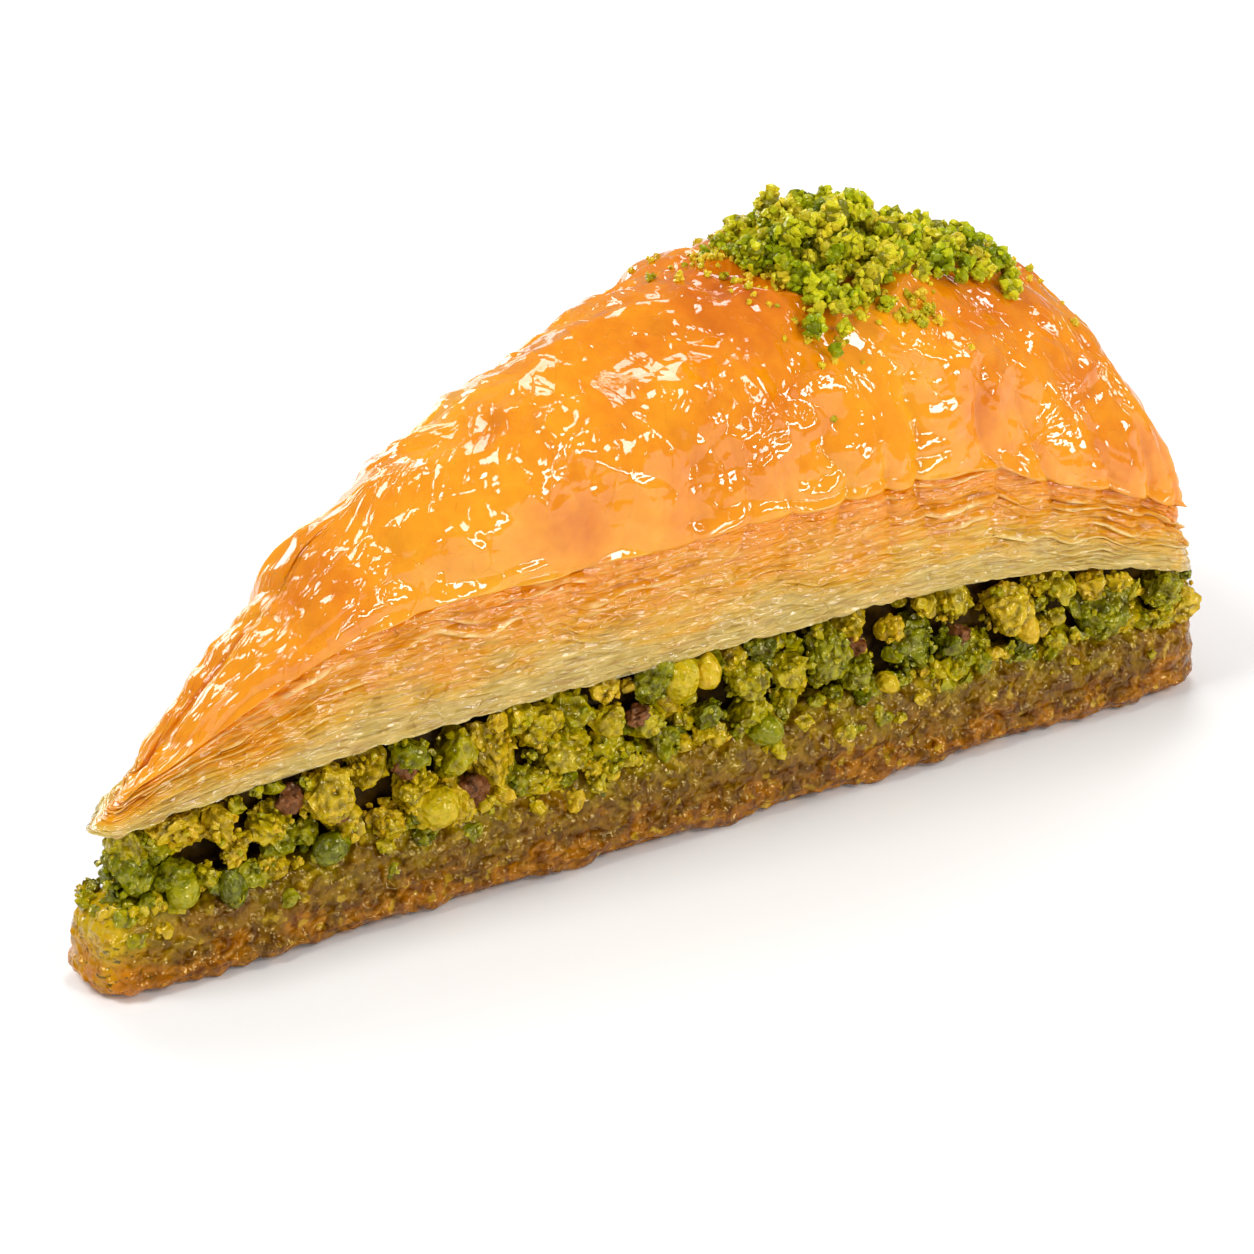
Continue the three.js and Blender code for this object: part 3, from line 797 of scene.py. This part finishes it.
# Nuts: chopped pistachio between slab and lid, and ground pistachio on the crust

# Places along the outline, measured from the middle of the point round the near side
NUTS_START = -4.0
FAR_START = 172.0  # about the middle of the rim, where the far side begins
NUTS_END = 336.0
KERNELS_END = 340.0

CUTS = 6  # flat cuts on each piece of chopped nut
TIP_NUTS_BACK = 2.4  # how much further in the nuts lie at the point


def ball_template(subdivisions):
    """The points and faces of a small ball, which is taken away again."""
    bpy.ops.mesh.primitive_ico_sphere_add(subdivisions=subdivisions, radius=1)
    ball = bpy.context.object
    points = np.array([vertex.co for vertex in ball.data.vertices])
    faces = np.array([face.vertices for face in ball.data.polygons])
    bpy.data.meshes.remove(ball.data)
    return points, faces


def joined_shapes(name, shapes, faces, smooth):
    """One mesh of many closed shapes, each given by its own points, which share a list of faces."""
    count, corners = shapes.shape[:2]
    places = shapes.reshape(-1, 3) * MM + [shift, 0, 0]
    triangles = faces[None] + np.arange(count)[:, None, None] * corners
    mesh = bpy.data.meshes.new(name)
    mesh.from_pydata(places.tolist(), [], triangles.reshape(-1, 3).tolist())
    mesh.polygons.foreach_set("use_smooth", np.full(len(mesh.polygons), smooth))
    piece = bpy.data.objects.new(name, mesh)
    bpy.context.scene.collection.objects.link(piece)
    return piece


def joined_copies(name, template, centres, sizes, turns, jitter, seed, smooth=False):
    """One mesh of many copies of a shape, each turned, stretched and roughened in its own way."""
    points, faces = template
    spots = np.random.default_rng(seed)
    rough = 1 + jitter * spots.standard_normal((len(centres), len(points), 1))
    copies = points[None] * rough * sizes[:, None]
    copies = np.einsum("nij,nkj->nki", turns, copies) + centres[:, None]
    return joined_shapes(name, copies, faces, smooth)


def random_turns(count, seed):
    chance = random.Random(seed)
    spins = [Euler([chance.uniform(0, 2 * math.pi) for _ in range(3)]).to_matrix() for _ in range(count)]
    return np.array(spins)


def knobs_on(lumps, density, radius, seed):
    """Small knobs all over each lump: centres, sizes, and the lump that each belongs to."""
    chance = random.Random(seed)
    centres, sizes, owners = [], [], []
    for owner, (centre, size) in enumerate(lumps):
        for _ in range(max(6, round(density * size**2))):
            way = np.array(Vector([chance.gauss(0, 1) for _ in range(3)]).normalized())
            knob = chance.uniform(*radius) * min(1, 0.5 + 0.3 * size)
            centres.append(centre + way * (size * chance.uniform(0.8, 1.02) - 0.5 * knob))
            sizes.append(knob * np.array([chance.uniform(0.7, 1.3) for _ in range(3)]))
            owners.append(owner)
    return np.array(centres), np.array(sizes), np.array(owners)


def outline_spot(along, out):
    """A point of the slab's outline, `along` it from the point of the wedge, moved out."""
    whole = 2 * slab_outline.along[-1] - slab_outline.along[-2]
    at = (along % whole) / slab_outline.along[1]
    i = int(at) % COLUMNS
    edge = slab_outline
    return edge.x[i] + edge.nx[i] * out, edge.y[i] + edge.ny[i] * out, edge.u[i]


def packed_lumps(start, end, sizes, seed):
    """Lumps of nut between slab and lid, the largest first, side by side along the outline."""
    chance = random.Random(seed)
    taken, lumps = [], []
    for size, tries in sizes:
        for _ in range(tries):
            along = chance.uniform(start, end)
            radius = size * chance.uniform(0.85, 1.15)
            x, y, u = outline_spot(along, 0)
            at_tip = TIP_NUTS_BACK * math.exp(-((x / 5.0) ** 2)) * (1 + max(0, y) / 3)
            sunk = 2.4 * chance.uniform(0.0, 1.0) ** 2
            x, y, u = outline_spot(along, -radius * 0.55 - sunk - at_tip)
            low, high = slab_top(u) + 0.2 * radius - 0.6, filling_top(u) - 0.8 * radius
            if high < low:
                continue
            z = chance.uniform(low, high)
            if any(math.hypot(along - a, z - b) < 0.78 * (radius + r) for a, b, r in taken):
                continue
            taken.append((along, z, radius))
            lumps.append((np.array([x, y, float(z)]), radius))
    return lumps


LUMP_SIZES = [(2.9, 40), (2.3, 120), (1.7, 260), (1.2, 340), (0.85, 260)]  # radius, tries
LEDGE_CRUMBS = 1.2  # for each millimetre of the outline
MORE_KERNELS = 26  # at random, besides those listed below
MORE_SKINS = 14

# Whole and split kernels on the near side: from the point, height, radius and tint
KERNELS = [
    (8.1, 10.9, 1.8, 0.7),
    (13.3, 9.2, 1.8, 1.0),
    (24.3, 10.6, 1.8, 0.95),
    (35.5, 12.2, 2.3, 0.3),
    (54.6, 9.6, 1.1, 0.4),
    (65.0, 19.2, 2.2, 0.35),
    (68.2, 19.6, 1.7, 0.15),
    (75.1, 10.2, 2.0, 0.8),
    (91.5, 11.7, 1.3, 0.2),
    (109.9, 14.0, 1.7, 0.05),
]

# Scraps of brown skin on the near side: from the point, height
SKINS = [(20.0, 17.5), (25.0, 14.4), (32.9, 18.2), (40.5, 12.6), (60.0, 16.0), (87.1, 17.1), (101.0, 15.3)]


def on_near_face(x, out):
    """A point of the near cut face, `x` from the wedge's point, moved out."""
    y = -half_width(x / WEDGE_LENGTH)
    return x - out * math.sin(HALF_ANGLE), y - out * math.cos(HALF_ANGLE)


def ledge_crumbs(start, end, count, seed):
    """Crumbs half sunk in the slab along its upper edge."""
    chance = random.Random(seed)
    lumps = []
    for _ in range(count):
        down = chance.uniform(-1.0, 0.6) ** 3 * 4.5
        x, y, u = outline_spot(chance.uniform(start, end), chance.uniform(-1.3, -0.3) - 0.2 * min(0, down))
        lumps.append((np.array([x, y, float(slab_top(u)) + down]), chance.uniform(0.5, 1.3)))
    return lumps


def chopped_bodies(name, lumps, tints, fineness, seed):
    """Pieces of chopped nut in one mesh: balls with a few flat cuts and a crumbly face, with painted shade
    in the hollows between their lobes.
    """
    spots = np.random.default_rng(seed)
    points, faces = ball_template(fineness)
    count = len(lumps)
    radii = np.array([radius for _, radius in lumps])[:, None, None]
    shapes = points[None] * spots.uniform(0.85, 1.3, (count, 1, 3))
    for _ in range(CUTS):
        way = spots.standard_normal((count, 3))
        way /= np.linalg.norm(way, axis=1, keepdims=True)
        over = np.einsum("nij,nj->ni", shapes, way) - spots.uniform(0.45, 0.85, (count, 1))
        shapes = shapes - 0.92 * np.maximum(0, over)[..., None] * way[:, None]
    shapes = shapes * radii
    apart = shapes + 40.0 * np.arange(count)[:, None, None]
    lobes = np.abs(noise_at(apart, 1.7, seed))
    frill = np.abs(noise_at(apart, 0.8, seed + 1))
    outward = shapes / np.linalg.norm(shapes, axis=-1, keepdims=True)
    jitter = 0.07 * spots.standard_normal(lobes.shape)
    shapes = shapes + outward * (0.8 * lobes + 0.7 * frill + jitter - 0.3)[..., None]
    shapes = shapes + np.array([centre for centre, _ in lumps])[:, None]
    piece = joined_shapes(name, shapes, faces, False)
    mark(piece, "tint", np.repeat(tints, len(points)))
    # Painted shade: the hollows between lobes and frills get a high "depth" mark, which the material
    # darkens.
    cleft_shade_amount = np.clip(0.9 - 4 * lobes, 0, 0.9) + np.clip(0.3 - 3 * frill, 0, 0.3)
    mark(piece, "depth", cleft_shade_amount.ravel())
    return piece


def joined(pieces):
    """Several pieces made one, under the name of the first."""
    bpy.ops.object.select_all(action="DESELECT")
    for piece in pieces:
        piece.select_set(True)
    bpy.context.view_layer.objects.active = pieces[0]
    bpy.ops.object.join()
    return pieces[0]


def chopped_nuts(name, lumps, seed):
    """Chopped nut: large pieces with fine faces, small ones with few, and angular crumbs on them all."""
    chance = np.random.default_rng(seed)
    tints = chance.beta(1.5, 1.7, len(lumps))
    pieces = []
    for fineness, smallest, largest in ((4, 2.4, 9.0), (3, 1.25, 2.4), (2, 0.0, 1.25)):
        chosen = [i for i, (_, radius) in enumerate(lumps) if smallest <= radius < largest]
        some = [lumps[i] for i in chosen]
        pieces.append(chopped_bodies(name, some, tints[chosen], fineness, seed + fineness))
    centres, sizes, owners = knobs_on(lumps, 6.5, (0.25, 0.55), seed)
    small = ball_template(1)
    turns = random_turns(len(centres), seed + 1)
    crumbs = joined_copies(name + "_crumbs", small, centres, sizes, turns, 0.2, seed)
    crumb_tints = tints[owners] + 0.15 * chance.standard_normal(len(owners))
    mark(crumbs, "tint", np.repeat(crumb_tints, len(small[0])))
    mark(crumbs, "depth", np.zeros(len(crumbs.data.vertices)))
    return joined(pieces + [crumbs])


def clumps(name, lumps, density, radius, seed):
    """Clumps of ground nut: rough cores, set all over with angular knobs that each have their own tint,
    with painted shade on the cores and on the knobs deep in each clump.
    """
    chance = np.random.default_rng(seed)
    cores = np.array([centre for centre, _ in lumps])
    reach = np.array([size for _, size in lumps])
    core_sizes = 0.72 * reach[:, None] * chance.uniform(0.85, 1.15, (len(lumps), 3))
    centres, sizes, owners = knobs_on(lumps, density, radius, seed)
    large, small = ball_template(2), ball_template(1)
    body = joined_copies(name, large, cores, core_sizes, random_turns(len(lumps), seed), 0.1, seed)
    turns = random_turns(len(centres), seed + 1)
    knobs = joined_copies(name + "_knobs", small, centres, sizes, turns, 0.28, seed)
    lump_tint = chance.beta(1.6, 1.6, len(lumps))
    knob_tint = lump_tint[owners] + 0.12 * chance.standard_normal(len(owners))
    out = np.linalg.norm(centres - cores[owners], axis=1) / reach[owners]
    mark(body, "tint", np.repeat(lump_tint, len(large[0])))
    mark(knobs, "tint", np.repeat(knob_tint, len(small[0])))
    # Painted shade: the cores and the inner knobs get a "depth" mark that the material darkens, most in
    # large clumps.
    shade = np.clip(reach - 0.5, 0, 1)
    mark(body, "depth", np.repeat(0.9 * shade, len(large[0])))
    mark(knobs, "depth", np.repeat(np.clip((0.8 - out) * 3, 0, 0.6) * shade[owners], len(small[0])))
    return joined([body, knobs])


def make_nuts(name, start, end, seed, material):
    lumps = packed_lumps(start, end, LUMP_SIZES, seed)
    lumps += ledge_crumbs(start, end, round(LEDGE_CRUMBS * (end - start)), seed)
    piece = chopped_nuts(name, lumps, seed)
    return finished(piece, material, "chopped_pistachio", "pistachio_filling")


def make_kernels(material):
    """Smooth kernels pressed into the near side, and more on the sides behind it."""
    chance = random.Random(21)
    spots = [(np.array([*on_near_face(x, -0.5), z]), radius, tint) for x, z, radius, tint in KERNELS]
    for _ in range(MORE_KERNELS):
        x, y, u = outline_spot(chance.uniform(FAR_START - 12, KERNELS_END), -1.2)
        z = chance.uniform(float(slab_top(u)), float(filling_top(u)) - 1.8)
        spots.append((np.array([x, y, z]), chance.uniform(1.2, 2.2), chance.random()))
    points, faces = ball_template(4)
    points = points * [1.3, 1.0, 0.9]
    points[:, 1:] *= 1 - 0.16 * points[:, :1]
    points[:, 2] -= 0.12 * np.exp(-((points[:, 1] / 0.12) ** 2)) * np.sign(points[:, 2])
    points *= 1 + 0.05 * noise_at(points[None], 0.5, 8)[0][:, None]
    centres = np.array([centre for centre, _, _ in spots])
    sizes = np.array([[radius] * 3 for _, radius, _ in spots])
    turns = random_turns(len(spots), 21)
    piece = joined_copies("whole_kernels", (points, faces), centres, sizes, turns, 0.0, 21, True)
    mark(piece, "tint", np.repeat([tint for _, _, tint in spots], len(points)))
    mark(piece, "depth", np.zeros(len(piece.data.vertices)))
    return finished(piece, material, "chopped_pistachio", "pistachio_filling")


def make_skins():
    chance = random.Random(31)
    lumps = [(np.array([*on_near_face(x, -0.9), z]), chance.uniform(1.3, 2.0)) for x, z in SKINS]
    for _ in range(MORE_SKINS):
        x, y, u = outline_spot(chance.uniform(FAR_START - 20, KERNELS_END), -1.1)
        z = chance.uniform(float(slab_top(u)) + 1, float(filling_top(u)) - 1.5)
        lumps.append((np.array([x, y, z]), chance.uniform(1.2, 1.8)))
    piece = chopped_bodies("nut_skins", lumps, np.zeros(len(lumps)), 3, 31)
    return finished(piece, skin_finish(), "chopped_pistachio", "pistachio_filling")


def make_nut_shade_sheet(material):
    """A dark sheet behind the nuts that show: painted shade for the filling deeper in."""
    edge = slab_outline
    rise = np.linspace(0, 1, 12)[:, None]
    side = edge.ring(-3.8, mix(slab_top(edge.u) - 0.4, filling_top(edge.u) + 0.1, rise))
    side = side + grid_normals(side) * (0.9 * noise_at(side, 2.2, 3))[..., None]
    below = edge.spine(slab_top(edge.u) - 0.4)
    above = edge.spine(filling_top(edge.u) + 0.1)
    piece = laid("nut_shade_sheet", np.concatenate([[below], side, [above]]), {})
    return finished(piece, material, "chopped_pistachio", "pistachio_filling")


# Mounds of the heap: middle, reach along and across, height, how many clumps
MOUNDS = [
    (97.5, -3.0, 12.5, 11.5, 4.6, 78),
    (111.5, -8.0, 10.5, 7.5, 1.8, 46),
    (89.0, -13.5, 4.5, 3.0, 0.8, 9),
]

# Drifts of loose crumbs on the crust: middle, spread along and across, how many, and the largest radius
DRIFTS = [
    (84.0, -2.0, 4.0, 9.0, 55, 0.75),
    (88.0, -13.0, 5.0, 3.0, 24, 0.7),
    (99.0, -15.5, 6.0, 2.5, 30, 0.8),
    (116.0, -4.0, 6.0, 7.0, 60, 1.0),
    (125.0, -5.0, 7.0, 7.0, 45, 0.8),
    (100.0, 9.0, 12.0, 4.0, 45, 0.8),
]


def make_heap(material):
    chance = random.Random(4)
    lumps = []
    golden = math.pi * (3 - math.sqrt(5))
    for middle_x, middle_y, reach_x, reach_y, height, count in MOUNDS:
        for i in range(count):
            share = math.sqrt((i + 0.5) / count) * chance.uniform(0.82, 1.12)
            x = middle_x + reach_x * share * math.cos(i * golden)
            y = middle_y + reach_y * share * math.sin(i * golden)
            dome = float(lid_top(x / WEDGE_LENGTH, y))
            top = height * max(0, 1 - share**2) ** 0.8
            radius = chance.uniform(0.9, 2.1) * mix(1.0, 0.75, share**2)
            lumps.append((np.array([x, y, dome + 0.3 + top * chance.uniform(0.4, 1.2)]), radius))
            if top > 1.5:
                lumps.append((np.array([x, y, dome + 0.3 * top]), 1.4))
    piece = clumps("ground_nuts", lumps, 10.0, (0.35, 0.7), 4)
    return finished(piece, material, "ground_pistachio", "pistachio_heap")


def make_crumbs(crust, material):
    """Loose crumbs that lie on the crust round the heap."""
    rows, columns = crust.shape[:2]
    corners = np.arange(rows * columns).reshape(rows, columns)
    right = np.roll(corners, -1, axis=1)
    quads = np.stack([corners[:-1], right[:-1], right[1:], corners[1:]], axis=-1).reshape(-1, 4)
    skin = BVHTree.FromPolygons(crust.reshape(-1, 3).tolist(), quads.tolist())
    chance = random.Random(14)
    lumps = []
    for x, y, along, across, count, largest in DRIFTS:
        for _ in range(count):
            above = Vector((x + along * chance.gauss(0, 0.55), y + across * chance.gauss(0, 0.55), 100))
            spot = skin.ray_cast(above, Vector((0, 0, -1)))[0]
            radius = largest * chance.uniform(0.3, 1) ** 1.5
            lumps.append((np.array(spot) + [0, 0, 0.35 * radius], radius))
    piece = clumps("loose_crumbs", lumps, 12.0, (0.25, 0.5), 15)
    return finished(piece, material, "ground_pistachio", "top_pastry")


# Floor, light and camera

FLOOR_RADIUS = 2.0  # in metres
FLOOR_LEVEL = -0.00005  # just under the wedge
LIGHT_DISTANCE = 0.6
LIGHT_AIM = Vector((0, 0, 0.03))
WORLD_STRENGTH = 0.28

# Flat lights: azimuth, elevation, width and height in metres, power in watts
LIGHTS = {
    "key_light": (-110, 55, 0.24, 0.24, 2.1),
    "front_light": (5, 42, 0.16, 0.16, 0.9),
    "low_light": (10, 13, 0.5, 0.05, 1.3),
    "side_light": (60, 30, 0.1, 0.1, 0.4),
    "back_light": (130, 50, 0.25, 0.25, 1.2),
    "rim_light": (178, 14, 0.3, 0.3, 1.6),
}

# Angles in degrees, the rest in millimetres
CAMERA = {"azimuth": -40.77, "elevation": 27.44, "distance": 353.41, "aim": (1.71, 0, 17.09), "lens": 90}


def make_stage():
    bpy.ops.object.select_all(action="DESELECT")
    bpy.ops.mesh.primitive_circle_add(vertices=96, radius=FLOOR_RADIUS, fill_type="NGON",
                                      location=(0, 0, FLOOR_LEVEL))
    floor = bpy.context.object
    floor.name = "floor"
    bpy.ops.object.transform_apply(location=True)
    floor.data.materials.append(floor_finish())


def way_to(azimuth, elevation):
    """The direction from the wedge to a light or the camera."""
    turn, lift = math.radians(azimuth), math.radians(elevation)
    return Vector((math.sin(turn) * math.cos(lift), -math.cos(turn) * math.cos(lift), math.sin(lift)))


def softbox(name, azimuth, elevation, width, height, power):
    """A flat light that faces the wedge."""
    way = way_to(azimuth, elevation)
    bpy.ops.object.light_add(type="AREA", location=way * LIGHT_DISTANCE + LIGHT_AIM)
    light = bpy.context.object
    light.name = name
    light.rotation_euler = way.to_track_quat("Z", "Y").to_euler()
    light.data.shape = "RECTANGLE"
    light.data.size = width
    light.data.size_y = height
    light.data.energy = power


def make_light():
    world = bpy.data.worlds.new("studio")
    bpy.context.scene.world = world
    world.use_nodes = True
    background = world.node_tree.nodes["Background"]
    background.inputs["Color"].default_value = (1, 1, 1, 1)
    background.inputs["Strength"].default_value = WORLD_STRENGTH
    for name, values in LIGHTS.items():
        softbox(name, *values)
    bpy.context.scene.view_settings.view_transform = "Standard"


def make_camera():
    back = way_to(CAMERA["azimuth"], CAMERA["elevation"])
    place = (Vector(CAMERA["aim"]) + back * CAMERA["distance"]) * MM
    bpy.ops.object.camera_add(location=place, rotation=back.to_track_quat("Z", "Y").to_euler())
    camera = bpy.context.object
    camera.data.lens = CAMERA["lens"]
    camera.data.sensor_width = 36
    camera.data.clip_start = 0.01
    bpy.context.scene.camera = camera


make_camera()
make_light()
make_stage()
make_slab()
make_leaves()
crust = make_crust()
chopped = nut_finish("chopped_nut")
make_nut_shade_sheet(nut_shadow_finish())
make_nuts("nuts_near", NUTS_START, FAR_START, 5, chopped)
make_nuts("nuts_far", FAR_START, NUTS_END, 6, chopped)
make_kernels(chopped)
make_skins()
make_heap(nut_finish("ground_nut"))
make_crumbs(crust, nut_finish("loose_nut"))
